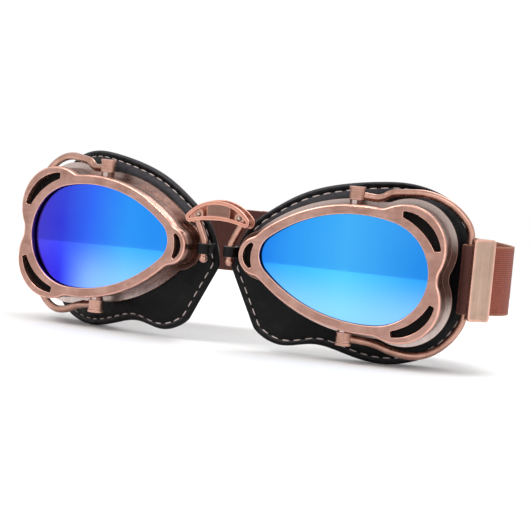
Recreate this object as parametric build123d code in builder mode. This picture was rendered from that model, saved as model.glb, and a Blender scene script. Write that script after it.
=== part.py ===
"""Split-frame motorcycle goggles: two mirrored eyecups, a jointed nose bridge, wire bails and a head strap.

Frame: +X to the wearer's left, +Z up, the goggles face -Y. The origin is on the mid-plane, level with
the lens centres and with the middle of the bezels' front faces. Everything is in millimetres.
The right-hand (+X) pieces are built first and the left-hand ones are their mirror images.
"""
from build123d import *
from math import cos, radians, sin, sqrt, tan
import os

os.makedirs("parts", exist_ok=True)

# Eyecup placing: each bezel's centre on X, and how far it is turned back towards the temple
CUP_X = 51.3
CUP_YAW = 9.1

# Lens opening: a four-arc egg in the bezel's plane, u towards the temple and v up
NOSE_ARC = (-23.3, 0.9, 8.7)
TEMPLE_ARC = (13.9, -1.5, 20.4)
TOP_FLANK_RADIUS = 54.8
BOTTOM_FLANK_RADIUS = 60.7

# Bezel: a rim round the egg, with three round lobes that carry the vents
RIM_WIDTH = 3.8
LOBES = ((-32.6, -0.1, 7.7), (23.7, 8.9, 16.7), (23.9, -11.6, 16.2))
WAIST_FILLET = 6.0
BEZEL_DEPTH = 3.0
BEZEL_LIP = 0.9
BEZEL_ROUNDING = 0.8
OPENING_ROUNDING = 0.4
LENS_SEAT = 1.3

# Vents: each is (outer arc, inner arc), and each arc is three points
UPPER_VENT = (((22.4, 23.1), (33.2, 18.7), (38.4, 9.1)), ((22.4, 20.7), (30.0, 16.1), (35.8, 8.9)))
LOWER_VENT = (((37.9, -12.3), (33.5, -20.8), (22.3, -25.4)), ((35.9, -11.5), (30.6, -18.4), (21.8, -23.1)))
NOSE_VENT = (((-35.7, 4.9), (-38.5, -0.2), (-35.7, -5.1)), ((-34.5, 4.3), (-35.4, -0.3), (-34.6, -4.7)))
VENT_END_RADIUS = 0.6
VENT_ROUNDING = 0.25

# Lens: flat at the back, a shallow dome at the front
LENS_GROW = 1.1
LENS_DOME_RADIUS = 300.0
LENS_APEX_DEPTH = 0.3
GASKET_THICKNESS = 1.2
GASKET_INSET = 0.6

# Cup shell: a thin wall from the bezel back to a slanted flange
WALL_INSET = 0.4
WALL_THICKNESS = 0.9
LEDGE_THICKNESS = 1.0
LEDGE_INSET = 0.5
CUP_DEPTH = 12.2
CUP_REAR_TILT = 4.6
FLANGE_WIDTH = 2.0
FLANGE_THICKNESS = 1.3

# Bezel screws: four behind the bezel's solid spots
SCREW_SPOTS = ((16.8, 21.0), (36.9, 4.2), (37.0, -7.8), (17.6, -23.6))
SCREW_RADIUS = 0.6
SCREW_TIP_DEPTH = 1.8
SCREW_CLEARANCE = 0.12
SCREW_HEAD_RADIUS = 0.95
SCREW_HEAD_HEIGHT = 0.7

# Bail pivots: a stud above and a stud below each cup, on one upright axis
PIVOT_U = 3.0
PIVOT_DEPTH = 5.7
BOSS_RADIUS = 2.6
STUD_RADIUS = 1.5
STUD_FIT = 0.06
STUD_CAP_RADIUS = 3.2
STUD_CAP_HEIGHT = 1.0
BARREL_RADIUS = 3.0
BARREL_LENGTH = 3.7
TOP_PIVOT = (22.5, 25.3)
BOTTOM_PIVOT = (-24.9, -25.9)
PIVOT_GAP = 0.2

# Bail: a bent wire in an upright plane through the pivot axis, r out from the axis and z up
WIRE_RADIUS = 1.5
BAIL_ANGLE = 28.3
BAR_RADIUS = 45.8
BAIL_PATH = (
    (2.2, 27.0), (9.2, 26.3), (13.0, 29.0), (28.0, 30.4), (39.5, 25.4), (BAR_RADIUS, 17.6),
    (BAR_RADIUS, -18.0), (42.2, -24.4), (36.5, -30.2), (29.0, -33.2), (20.5, -32.5),
    (11.5, -29.2), (2.2, -28.2),
)
BAIL_BENDS = (7.0, 7.0, 24.0, 24.0, 11.0, 14.0, 18.0, 20.0, 16.0, 30.0, 30.0)

# Face surface: the pads' edges lie on an upright cylinder that stands for the face
FACE_RADIUS = 148.5
FACE_AXIS_Y = 157.0
PAD_THICKNESS = 3.5
FOAM_THICKNESS = 8.0
FOAM_INSET = 3.0
PAD_OPENING_INSET = 2.0
COLLAR_INSET = 1.0
PAD_NOSE = (2.6, -6.8)
PAD_CORNER = (14.0, -29.3)
PAD_EDGE = (
    PAD_NOSE, (4.6, 2.0), (9.3, 11.0), (16.0, 17.0), (30.0, 25.9), (44.0, 30.5), (58.0, 32.8),
    (67.0, 33.2), (76.0, 31.4), (84.5, 26.4), (90.6, 18.0), (93.2, 7.0), (93.2, -8.0), (90.0, -21.5),
    (83.5, -31.0), (75.0, -36.0), (63.5, -38.0), (50.0, -35.4), (38.0, -33.0), (26.0, -34.8),
    (18.0, -32.4), PAD_CORNER,
)

# Nose bridge: two crescent plates with the legs' eyes between them
BRIDGE_FRONT_Y = -3.2
BRIDGE_PLATE = 1.1
BRIDGE_BACK_Y = 1.3
CRESCENT_TOP = ((-12.0, 12.0), (0.0, 17.7), (12.0, 12.0))
CRESCENT_BOTTOM = ((-11.9, 11.5), (0.0, 13.3), (11.9, 11.5))
CRESCENT_GROW = 1.5
CRESCENT_RIM = 1.3
INLAY_HALF_WIDTH = 4.9
PIN_X = 8.7
PIN_Z = 13.2
PIN_RADIUS = 0.8
PIN_FIT = 0.07
PIN_HEAD_RADIUS = 0.95
BACK_GROW = 0.4
PLATE_ROUNDING = 0.2
INLAY_SINK = 0.5
PIN_GAP = 0.15

# Bridge legs: wire from the pin down through the leather tab
LEG_RADIUS = 1.4
LEG_Y = -0.6
LEG_FOOT_X = 5.6
LEG_PATH = ((LEG_FOOT_X, -3.9), (LEG_FOOT_X, 2.9), (9.2, 10.6), (PIN_X, PIN_Z))
LEG_BENDS = (6.0, 2.5)
LEG_BALL_RADIUS = 1.7
LEG_EYE_RADIUS = 2.0
LEG_EYE_LENGTH = 2.4
TAB_BORE_RADIUS = 1.65
TAB_RADIUS = 2.75
TAB_HEIGHT = 4.3
TAB_STRIP = 2.4

# Strap and its end loops round the bails' bars
STRAP_THICKNESS = 1.4
STRAP_WIDTH = 27.0
STRAP_Z = -1.5
STRAP_ANGLE = 60.0
STRAP_LEAD = 12.0
STRAP_CORNER = 19.0
RIGHT_SWEEP = 28.0
LEFT_SWEEP = 32.0
STRAP_TAIL_ANGLE = 15.0
LOOP_CLEARANCE = 0.25
LOOP_LENGTH = 8.8
LOOP_OUTER = WIRE_RADIUS + LOOP_CLEARANCE + STRAP_THICKNESS

# Strap clamp: a folded plate over the end loop
CLAMP_HEIGHT = 32.0
CLAMP_START = -1.5
CLAMP_END = 9.5
CLAMP_FOLD = 3.6
CLAMP_PLATE = 0.9
CLAMP_CAVITY = 28.6
CLAMP_ROUNDING = 1.6

# Strap slider at the back of the head
SLIDER_LENGTH = 14.0
SLIDER_WALL = 1.3
SLIDER_SLOT_WIDTH = 33.6
SLIDER_IN_GAP = 1.5
SLIDER_OUT_GAP = 0.5
SLIDER_ROUNDING = 1.0

# Longer than any cut needs
REACH = 80.0


def cup_plane(depth):
    """Plane parallel to the bezel's front face, that depth behind it, facing forwards."""
    yaw = radians(CUP_YAW)
    forwards = Vector(sin(yaw), -cos(yaw), 0)
    origin = Vector(CUP_X, 0, 0) - forwards * depth
    return Plane(origin=origin, x_dir=Vector(cos(yaw), sin(yaw), 0), z_dir=forwards)


def rear_plane(behind=0.0):
    """Slanted plane of the cup's rear edge, or one that far behind it."""
    start = cup_plane(CUP_DEPTH)
    slant = radians(CUP_YAW + CUP_REAR_TILT)
    forwards = Vector(sin(slant), -cos(slant), 0)
    origin = start.origin - forwards * behind
    return Plane(origin=origin, x_dir=Vector(cos(slant), sin(slant), 0), z_dir=forwards)


def flank_centre(flank_radius, side):
    """Centre of the long arc that closes the egg above (side 1) or below (side -1)."""
    nose = Vector(*NOSE_ARC[:2])
    temple = Vector(*TEMPLE_ARC[:2])
    along = (temple - nose).normalized()
    across = Vector(-along.Y, along.X)
    gap = (temple - nose).length
    to_nose = flank_radius - NOSE_ARC[2]
    to_temple = flank_radius - TEMPLE_ARC[2]
    forward = (gap**2 + to_nose**2 - to_temple**2) / (2 * gap)
    return nose + along * forward - across * side * sqrt(to_nose**2 - forward**2)


def egg(grow, mode=Mode.ADD):
    """Face of the lens opening, grown outwards by grow, for the sketch being built."""
    nose = Vector(*NOSE_ARC[:2])
    temple = Vector(*TEMPLE_ARC[:2])
    nose_radius = NOSE_ARC[2] + grow
    temple_radius = TEMPLE_ARC[2] + grow
    top = flank_centre(TOP_FLANK_RADIUS, 1)
    bottom = flank_centre(BOTTOM_FLANK_RADIUS, -1)
    nose_top = nose + (nose - top).normalized() * nose_radius
    nose_bottom = nose + (nose - bottom).normalized() * nose_radius
    temple_top = temple + (temple - top).normalized() * temple_radius
    temple_bottom = temple + (temple - bottom).normalized() * temple_radius
    top_middle = top + ((nose_top + temple_top) * 0.5 - top).normalized() * (TOP_FLANK_RADIUS + grow)
    low_middle = bottom + ((nose_bottom + temple_bottom) * 0.5 - bottom).normalized() * (
        BOTTOM_FLANK_RADIUS + grow
    )
    with BuildLine() as outline:
        ThreePointArc(nose_top, nose - Vector(nose_radius, 0), nose_bottom)
        ThreePointArc(nose_bottom, low_middle, temple_bottom)
        ThreePointArc(temple_bottom, temple + Vector(temple_radius, 0), temple_top)
        ThreePointArc(temple_top, top_middle, nose_top)
    return make_face(outline.edges(), mode=mode)


with BuildSketch() as bezel_shape:
    egg(RIM_WIDTH)
    for lobe_u, lobe_v, lobe_radius in LOBES:
        with Locations((lobe_u, lobe_v)):
            Circle(lobe_radius)
    offset(amount=WAIST_FILLET)
    offset(amount=-WAIST_FILLET)


def outline_face(inset, mode=Mode.ADD):
    """Face of the bezel's outline, moved inwards by inset, for the sketch being built."""
    if inset == 0:
        return add(bezel_shape.sketch, mode=mode)
    return add(offset(bezel_shape.sketch, amount=-inset, mode=Mode.PRIVATE), mode=mode)


def vent_shape(vent):
    """Crescent of one vent, with rounded ends, in the bezel's plane."""
    outer, inner = vent
    with BuildSketch() as crescent:
        with BuildLine():
            ThreePointArc(*outer)
            Line(outer[2], inner[2])
            ThreePointArc(*inner)
            Line(inner[0], outer[0])
        make_face()
        fillet(crescent.vertices(), VENT_END_RADIUS)
    return crescent.sketch


VENTS = [vent_shape(vent) for vent in (UPPER_VENT, LOWER_VENT, NOSE_VENT)]


def vent_faces(grow=0.0):
    """Faces of the three vents, grown outwards by grow, for the sketch being built."""
    for vent in VENTS:
        add(offset(vent, amount=grow, mode=Mode.PRIVATE) if grow else vent)


def screw_circles(radius):
    """Circles at the screw spots, for the sketch being built."""
    with Locations(*SCREW_SPOTS):
        Circle(radius)


def front_edges(part, depth):
    """Edges of a part's flat face that looks forwards at that depth behind the bezel's front."""
    plane = cup_plane(depth)
    level = part.faces().filter_by(plane)
    return level.filter_by(lambda face: abs(plane.to_local_coords(face.center()).Z) < 0.01).edges()


def make_bezel():
    """Front ring: the rim and lobes, the lens opening, the lens seat, the vents and screw holes."""
    with BuildPart() as bezel:
        with BuildSketch(cup_plane(0)):
            outline_face(0)
        extrude(amount=-BEZEL_DEPTH)
        fillet(front_edges(bezel, 0), BEZEL_ROUNDING)
        with BuildSketch(cup_plane(0)):
            egg(0)
        extrude(amount=-BEZEL_DEPTH, mode=Mode.SUBTRACT)
        with BuildSketch(cup_plane(BEZEL_LIP)):
            egg(LENS_SEAT)
        extrude(amount=BEZEL_LIP - BEZEL_DEPTH, mode=Mode.SUBTRACT)
        rim = front_edges(bezel, 0).filter_by(lambda edge: inside_egg(edge, 0.5))
        fillet(rim, OPENING_ROUNDING)
        with BuildSketch(cup_plane(0)):
            vent_faces()
        extrude(amount=-BEZEL_DEPTH, mode=Mode.SUBTRACT)
        rim = front_edges(bezel, 0).filter_by(lambda edge: not inside_egg(edge, 1.5))
        fillet(vent_edges(rim), VENT_ROUNDING)
        with BuildSketch(cup_plane(SCREW_TIP_DEPTH)):
            screw_circles(SCREW_RADIUS)
        extrude(amount=SCREW_TIP_DEPTH - BEZEL_DEPTH, mode=Mode.SUBTRACT)
    return bezel.part


def inside_egg(edge, margin):
    """True where an edge's middle lies within the lens opening grown by margin."""
    middle = cup_plane(0).to_local_coords(edge.position_at(0.5))
    reach = 0
    for u, v, radius in (NOSE_ARC, TEMPLE_ARC):
        reach = max(reach, radius + margin - (Vector(middle.X, middle.Y) - Vector(u, v)).length)
    top = flank_centre(TOP_FLANK_RADIUS, 1)
    bottom = flank_centre(BOTTOM_FLANK_RADIUS, -1)
    flat = Vector(middle.X, middle.Y)
    between = (flat - top).length < TOP_FLANK_RADIUS + margin
    between = between and (flat - bottom).length < BOTTOM_FLANK_RADIUS + margin
    return reach > 0 or (between and NOSE_ARC[0] < middle.X < TEMPLE_ARC[0])


def vent_edges(edges):
    """Those edges that run round a vent."""
    plane = cup_plane(0)
    chosen = ShapeList()
    for edge in edges:
        middle = plane.to_local_coords(edge.position_at(0.5))
        spot = Vertex(middle.X, middle.Y, 0)
        if any(vent.distance_to(spot) < 0.05 for vent in VENTS):
            chosen.append(edge)
    return chosen


def make_lens():
    """Lens: flat at the back, a shallow dome at the front."""
    seat_depth = BEZEL_DEPTH
    with BuildPart() as lens:
        with BuildSketch(cup_plane(seat_depth)):
            egg(LENS_GROW)
        extrude(amount=seat_depth)
        dome_centre = cup_plane(LENS_APEX_DEPTH + LENS_DOME_RADIUS).origin
        with Locations(dome_centre):
            Sphere(LENS_DOME_RADIUS, mode=Mode.INTERSECT)
    return lens.part


def make_gasket():
    """Soft ring between the lens and the cup's ledge."""
    with BuildPart() as gasket:
        with BuildSketch(cup_plane(BEZEL_DEPTH)):
            egg(LENS_GROW)
            egg(-GASKET_INSET, mode=Mode.SUBTRACT)
        extrude(amount=-GASKET_THICKNESS)
    return gasket.part


def make_cup_shell():
    """Cup: a wall back to the flange, a ledge behind the lens, and the pivots' bosses."""
    ledge_front = BEZEL_DEPTH + GASKET_THICKNESS
    ledge_back = ledge_front + LEDGE_THICKNESS
    with BuildPart() as shell:
        with BuildSketch(cup_plane(BEZEL_DEPTH)):
            outline_face(WALL_INSET)
        with BuildSketch(rear_plane()):
            outline_face(WALL_INSET)
        loft(ruled=True)
        with BuildSketch(rear_plane()):
            outline_face(-FLANGE_WIDTH)
        extrude(amount=-FLANGE_THICKNESS)
        for low, high in (TOP_PIVOT, BOTTOM_PIVOT[::-1]):
            with BuildSketch(pivot_plane(low)):
                Circle(BOSS_RADIUS)
            extrude(amount=high - low)
        with BuildSketch(cup_plane(ledge_back)):
            outline_face(WALL_INSET + WALL_THICKNESS)
        with BuildSketch(rear_plane(FLANGE_THICKNESS)):
            outline_face(WALL_INSET + WALL_THICKNESS)
        loft(ruled=True, mode=Mode.SUBTRACT)
        with BuildSketch(cup_plane(BEZEL_DEPTH)):
            outline_face(WALL_INSET + WALL_THICKNESS)
        extrude(amount=-GASKET_THICKNESS, mode=Mode.SUBTRACT)
        with BuildSketch(cup_plane(ledge_front)):
            egg(-LEDGE_INSET)
            vent_faces(-VENT_ROUNDING)
            screw_circles(SCREW_RADIUS + SCREW_CLEARANCE)
        extrude(amount=-LEDGE_THICKNESS, mode=Mode.SUBTRACT)
        for low, high in (TOP_PIVOT, BOTTOM_PIVOT[::-1]):
            with BuildSketch(pivot_plane(low)):
                Circle(STUD_RADIUS)
            extrude(amount=high - low, mode=Mode.SUBTRACT)
    return shell.part


def make_vent_screens():
    """Thin mesh plates that close the vents between the bezel and the ledge."""
    with BuildPart() as screens:
        with BuildSketch(cup_plane(BEZEL_DEPTH)):
            vent_faces(0.25)
        extrude(amount=-GASKET_THICKNESS)
    return screens.part


def make_bezel_screws():
    """Four small screws from behind the ledge into the bezel."""
    head_front = BEZEL_DEPTH + GASKET_THICKNESS + LEDGE_THICKNESS
    with BuildPart() as screws:
        with BuildSketch(cup_plane(SCREW_TIP_DEPTH)):
            screw_circles(SCREW_RADIUS)
        extrude(amount=SCREW_TIP_DEPTH - head_front)
        with BuildSketch(cup_plane(head_front)):
            screw_circles(SCREW_HEAD_RADIUS)
        extrude(amount=-SCREW_HEAD_HEIGHT)
    return screws.part


def pivot_axis():
    """Where the bail's upright axis crosses the level of the lens centres."""
    plane = cup_plane(PIVOT_DEPTH)
    return plane.from_local_coords(Vector(PIVOT_U, 0, 0))


def pivot_plane(height):
    """Level plane on the bail's axis at that height."""
    spot = pivot_axis()
    return Plane(origin=(spot.X, spot.Y, height))


def make_pivot_studs():
    """Two headed studs, pressed into the bosses above and below the cup."""
    with BuildPart() as studs:
        for (low, high), side in ((TOP_PIVOT, 1), (BOTTOM_PIVOT, -1)):
            shank = abs(high - low) + PIVOT_GAP + BARREL_LENGTH + PIVOT_GAP
            with BuildSketch(pivot_plane(low)):
                Circle(STUD_RADIUS)
            extrude(amount=side * shank)
            with BuildSketch(pivot_plane(low + side * shank)):
                Circle(STUD_CAP_RADIUS)
            extrude(amount=side * STUD_CAP_HEIGHT)
    return studs.part


def bail_plane():
    """Upright plane of the bail: x runs out from the pivot axis and y runs up."""
    spot = pivot_axis()
    swing = radians(BAIL_ANGLE)
    out = Vector(cos(swing), sin(swing), 0)
    return Plane(origin=(spot.X, spot.Y, 0), x_dir=out, z_dir=Vector(sin(swing), -cos(swing), 0))


def bail_bar():
    """Where the bail's upright bar crosses the level of the lens centres."""
    return bail_plane().from_local_coords(Vector(BAR_RADIUS, 0, 0))


def make_bail():
    """Wire bail with a barrel at each end, and the straight bar that carries the strap."""
    with BuildPart() as bail:
        with BuildLine(bail_plane()) as route:
            FilletPolyline(*BAIL_PATH, radius=list(BAIL_BENDS))
        with BuildSketch(Plane(origin=route.line @ 0, z_dir=route.line % 0)):
            Circle(WIRE_RADIUS)
        sweep(path=route.line)
        for (low, high), side in ((TOP_PIVOT, 1), (BOTTOM_PIVOT, -1)):
            start = high + side * PIVOT_GAP
            with BuildSketch(pivot_plane(start)):
                Circle(BARREL_RADIUS)
            extrude(amount=side * BARREL_LENGTH)
            with BuildSketch(pivot_plane(start)):
                Circle(STUD_RADIUS + STUD_FIT)
            extrude(amount=side * BARREL_LENGTH, mode=Mode.SUBTRACT)
    return bail.part


def face_cylinder(radius, mode):
    """Upright cylinder of that radius round the face's axis, for the part being built."""
    with Locations((0, FACE_AXIS_Y, 0)):
        Cylinder(radius, 2 * REACH, mode=mode)


def pad_outline(inset):
    """Pad's outline seen from the front, with each point moved inwards by inset."""
    middle = Vector(CUP_X, 0)
    points = [Vector(*spot) + (middle - Vector(*spot)).normalized() * inset for spot in PAD_EDGE]
    with BuildSketch() as outline:
        with BuildLine():
            Spline(*points)
            Line(points[-1], points[0])
        make_face()
    return outline.sketch


PAD_SHAPE = pad_outline(0)
FOAM_SHAPE = pad_outline(FOAM_INSET)


def make_leather_pad():
    """Leather pad: a plate that follows the face, and a collar forward to the cup's flange."""
    with BuildPart() as pad:
        with BuildSketch(Plane.XZ):
            add(PAD_SHAPE)
        extrude(amount=-REACH)
        face_cylinder(FACE_RADIUS, Mode.INTERSECT)
        with BuildSketch(rear_plane(FLANGE_THICKNESS)):
            outline_face(COLLAR_INSET)
        extrude(amount=-REACH / 2)
        face_cylinder(FACE_RADIUS - PAD_THICKNESS, Mode.SUBTRACT)
        with BuildSketch(cup_plane(0)):
            egg(-PAD_OPENING_INSET)
        extrude(amount=-REACH, mode=Mode.SUBTRACT)
    return pad.part


def make_face_foam():
    """Foam ring behind the pad, which rests on the face."""
    with BuildPart() as foam:
        with BuildSketch(Plane.XZ):
            add(FOAM_SHAPE)
        extrude(amount=-REACH)
        face_cylinder(FACE_RADIUS - PAD_THICKNESS, Mode.INTERSECT)
        face_cylinder(FACE_RADIUS - PAD_THICKNESS - FOAM_THICKNESS, Mode.SUBTRACT)
        with BuildSketch(cup_plane(0)):
            egg(-PAD_OPENING_INSET)
        extrude(amount=-REACH, mode=Mode.SUBTRACT)
    return foam.part


def make_nose_tab():
    """Leather loop round the bridge's leg, and the strip that ties it to the pad."""
    with BuildPart() as tab:
        with BuildSketch(Plane.XY.offset(-TAB_HEIGHT / 2)):
            with Locations((LEG_FOOT_X, LEG_Y)):
                Circle(TAB_RADIUS)
            with Locations((LEG_FOOT_X + 0.4, LEG_Y)):
                Rectangle(TAB_STRIP, REACH / 4, align=(Align.CENTER, Align.MIN))
            with Locations((LEG_FOOT_X, LEG_Y)):
                Circle(TAB_BORE_RADIUS, mode=Mode.SUBTRACT)
        extrude(amount=TAB_HEIGHT)
        face_cylinder(FACE_RADIUS, Mode.SUBTRACT)
    return tab.part


def make_bridge_leg():
    """Wire leg: a ball foot below the tab, and an eye round the bridge's pin."""
    plane = Plane(origin=(0, LEG_Y, 0), x_dir=(1, 0, 0), z_dir=(0, -1, 0))
    with BuildPart() as leg:
        with BuildLine(plane) as route:
            FilletPolyline(*LEG_PATH, radius=list(LEG_BENDS))
        with BuildSketch(Plane(origin=route.line @ 0, z_dir=route.line % 0)):
            Circle(LEG_RADIUS)
        sweep(path=route.line)
        with Locations((LEG_PATH[0][0], LEG_Y, LEG_PATH[0][1])):
            Sphere(LEG_BALL_RADIUS)
        with BuildSketch(plane.offset(LEG_EYE_LENGTH / 2)):
            with Locations((PIN_X, PIN_Z)):
                Circle(LEG_EYE_RADIUS)
        extrude(amount=-LEG_EYE_LENGTH)
        with BuildSketch(plane.offset(REACH / 4)):
            with Locations((PIN_X, PIN_Z)):
                Circle(PIN_RADIUS + PIN_FIT)
        extrude(amount=-REACH / 2, mode=Mode.SUBTRACT)
    return leg.part


with BuildSketch() as crescent_shape:
    with BuildLine():
        ThreePointArc(*CRESCENT_TOP)
        Line(CRESCENT_TOP[2], CRESCENT_BOTTOM[2])
        ThreePointArc(*CRESCENT_BOTTOM)
        Line(CRESCENT_BOTTOM[0], CRESCENT_TOP[0])
    make_face()
    offset(amount=CRESCENT_GROW)


def bridge_plane(y):
    """Upright plane facing forwards at that Y."""
    return Plane(origin=(0, y, 0), x_dir=(1, 0, 0), z_dir=(0, -1, 0))


def pin_circles(radius):
    """Circles at the two pins, for the sketch being built."""
    with Locations((PIN_X, PIN_Z), (-PIN_X, PIN_Z)):
        Circle(radius)


def make_bridge_front():
    """Front crescent: a rim round a sunk panel."""
    with BuildPart() as front:
        with BuildSketch(bridge_plane(BRIDGE_FRONT_Y)):
            add(crescent_shape.sketch)
            panel = offset(crescent_shape.sketch, amount=-CRESCENT_RIM, mode=Mode.PRIVATE)
            add(panel, mode=Mode.SUBTRACT)
        extrude(amount=-BRIDGE_PLATE)
    return front.part


def make_bridge_back():
    """Back crescent: a plain plate that shows past the front one."""
    with BuildPart() as back:
        with BuildSketch(bridge_plane(BRIDGE_BACK_Y)):
            add(offset(crescent_shape.sketch, amount=BACK_GROW, mode=Mode.PRIVATE))
        extrude(amount=-BRIDGE_PLATE)
        fillet(back.faces().filter_by(Axis.Y).edges(), PLATE_ROUNDING)
        with BuildSketch(bridge_plane(BRIDGE_BACK_Y)):
            pin_circles(PIN_RADIUS)
        extrude(amount=-BRIDGE_PLATE, mode=Mode.SUBTRACT)
    return back.part


def make_bridge_inlay():
    """Plain raised panel in the middle of the front crescent, with a spacer back to the other plate."""
    with BuildPart() as inlay:
        with BuildSketch(bridge_plane(BRIDGE_FRONT_Y + INLAY_SINK)):
            add(offset(crescent_shape.sketch, amount=-CRESCENT_RIM, mode=Mode.PRIVATE))
            with Locations((0, PIN_Z)):
                Rectangle(2 * INLAY_HALF_WIDTH, REACH, mode=Mode.INTERSECT)
        extrude(amount=-(BRIDGE_BACK_Y - BRIDGE_FRONT_Y - INLAY_SINK))
    return inlay.part


def make_bridge_pins():
    """Two headed pins through the legs' eyes, riveted into the back crescent."""
    head_y = LEG_Y - LEG_EYE_LENGTH / 2 - PIN_GAP
    behind = (Align.CENTER, Align.MIN, Align.CENTER)
    with BuildPart() as pins:
        with Locations((PIN_X, head_y, PIN_Z), (-PIN_X, head_y, PIN_Z)):
            Sphere(PIN_HEAD_RADIUS)
        with Locations((0, head_y, PIN_Z)):
            Box(REACH, PIN_HEAD_RADIUS, REACH, align=behind, mode=Mode.SUBTRACT)
        with BuildSketch(bridge_plane(head_y)):
            pin_circles(PIN_RADIUS)
        extrude(amount=-(BRIDGE_BACK_Y + BRIDGE_PLATE - head_y))
    return pins.part


def strap_frame():
    """Level plane at the bail's bar: x runs along the strap as it leaves, y points inwards."""
    bar = bail_bar()
    lead = radians(STRAP_ANGLE)
    return Plane(origin=(bar.X, bar.Y, STRAP_Z), x_dir=(cos(lead), sin(lead), 0), z_dir=(0, 0, 1))


def strap_arcs(sweep):
    """Corner centre, and rear arc's radius, for a strap whose corner turns that far past +X."""
    corner = strap_frame().from_local_coords(Vector(STRAP_LEAD, STRAP_CORNER - LOOP_OUTER, 0))
    rear_radius = corner.X / cos(radians(sweep)) + STRAP_CORNER
    return corner, rear_radius


def make_strap(sweep):
    """Strap half: a loop round the bail's bar, a lead out of the clamp, a corner and the rear arc."""
    frame = strap_frame()
    corner, rear_radius = strap_arcs(sweep)
    corner_turn = sweep + 90 - STRAP_ANGLE
    rear_turn = 90 - sweep + STRAP_TAIL_ANGLE
    with BuildPart() as strap:
        with BuildSketch(frame.offset(-STRAP_WIDTH / 2)) as profile:
            with BuildLine():
                outer = Line((0, -LOOP_OUTER), (STRAP_LEAD, -LOOP_OUTER))
                inner = Line((0, STRAP_THICKNESS - LOOP_OUTER), (STRAP_LEAD, STRAP_THICKNESS - LOOP_OUTER))
                outer_corner = JernArc(outer @ 1, outer % 1, STRAP_CORNER, corner_turn)
                inner_corner = JernArc(inner @ 1, inner % 1, STRAP_CORNER - STRAP_THICKNESS, corner_turn)
                outer_rear = JernArc(outer_corner @ 1, outer_corner % 1, rear_radius, rear_turn)
                inner_rear = JernArc(
                    inner_corner @ 1, inner_corner % 1, rear_radius - STRAP_THICKNESS, rear_turn
                )
                Line(outer_rear @ 1, inner_rear @ 1)
                Line(outer @ 0, inner @ 0)
            make_face()
            with BuildLine():
                doubled = 2 * STRAP_THICKNESS - LOOP_OUTER
                Polyline(
                    (0, -LOOP_OUTER), (LOOP_LENGTH, -LOOP_OUTER), (LOOP_LENGTH, doubled), (0, doubled),
                    close=True,
                )
            make_face()
            Circle(LOOP_OUTER)
            Circle(LOOP_OUTER - STRAP_THICKNESS, mode=Mode.SUBTRACT)
        extrude(amount=STRAP_WIDTH)
    return strap.part


def make_strap_clamp():
    """Folded plate over the strap's end loop: a long outer leaf and a short inner one."""
    frame = strap_frame()
    doubled = 2 * STRAP_THICKNESS
    start_top = (Align.MIN, Align.MAX)
    with BuildPart() as clamp:
        with BuildSketch(frame.offset(-CLAMP_HEIGHT / 2)):
            with Locations((CLAMP_START, -LOOP_OUTER)):
                Rectangle(CLAMP_END - CLAMP_START, CLAMP_PLATE, align=start_top)
            with Locations((CLAMP_FOLD, doubled - LOOP_OUTER + CLAMP_PLATE)):
                Rectangle(CLAMP_END - CLAMP_FOLD, doubled + CLAMP_PLATE, align=start_top)
        extrude(amount=CLAMP_HEIGHT)
        with BuildSketch(frame.offset(-CLAMP_CAVITY / 2)):
            with Locations((CLAMP_START, -LOOP_OUTER)):
                Rectangle(REACH, doubled, align=(Align.MIN, Align.MIN))
        extrude(amount=CLAMP_CAVITY, mode=Mode.SUBTRACT)
        through = clamp.edges().filter_by(Axis(frame.origin, frame.y_dir))
        corners = through.filter_by(lambda edge: abs(edge.center().Z - STRAP_Z) > CLAMP_HEIGHT / 2 - 0.01)
        fillet(corners, CLAMP_ROUNDING)
    return clamp.part


def make_slider():
    """Rectangular slider round both strap ends at the back of the head."""
    right_rear = strap_rear(RIGHT_SWEEP)
    left_rear = strap_rear(LEFT_SWEEP)
    low = left_rear - STRAP_THICKNESS - SLIDER_IN_GAP
    high = right_rear + SLIDER_OUT_GAP
    middle = (low + high) / 2
    with BuildPart() as slider:
        with Locations((0, middle, STRAP_Z)):
            Box(SLIDER_LENGTH, high - low + 2 * SLIDER_WALL, SLIDER_SLOT_WIDTH + 2 * SLIDER_WALL)
        fillet(slider.edges().filter_by(Axis.X), SLIDER_ROUNDING)
        with Locations((0, middle, STRAP_Z)):
            Box(SLIDER_LENGTH, high - low, SLIDER_SLOT_WIDTH, mode=Mode.SUBTRACT)
    return slider.part


def strap_rear(sweep):
    """Y of the strap's outer face where it crosses the mid-plane."""
    corner, rear_radius = strap_arcs(sweep)
    centre_y = corner.Y - corner.X * tan(radians(sweep))
    return centre_y + rear_radius


def save(part, name):
    """Label one finished piece and write it as its own STEP file."""
    part.label = name
    export_step(part, f"parts/{name}.step")


def save_pair(part, name):
    """Write a right-hand piece and its mirror image as the left-hand one."""
    save(part, f"{name}_right")
    with BuildPart() as mirrored:
        mirror(part, about=Plane.YZ)
    save(mirrored.part, f"{name}_left")


MIRRORED_PIECES = {
    "bezel": make_bezel,
    "lens": make_lens,
    "lens_gasket": make_gasket,
    "cup_shell": make_cup_shell,
    "vent_screens": make_vent_screens,
    "bezel_screws": make_bezel_screws,
    "pivot_studs": make_pivot_studs,
    "leather_pad": make_leather_pad,
    "face_foam": make_face_foam,
    "nose_tab": make_nose_tab,
    "bridge_leg": make_bridge_leg,
    "bail": make_bail,
    "strap_clamp": make_strap_clamp,
}
for piece_name, make_piece in MIRRORED_PIECES.items():
    save_pair(make_piece(), piece_name)

with BuildPart() as left_strap:
    mirror(make_strap(LEFT_SWEEP), about=Plane.YZ)
save(make_strap(RIGHT_SWEEP), "strap_right")
save(left_strap.part, "strap_left")
save(make_bridge_front(), "bridge_front")
save(make_bridge_back(), "bridge_back")
save(make_bridge_inlay(), "bridge_inlay")
save(make_bridge_pins(), "bridge_pins")
save(make_slider(), "strap_slider")

print("bail's pivot axis", pivot_axis())
print("bail's bar axis", bail_bar())
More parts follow.
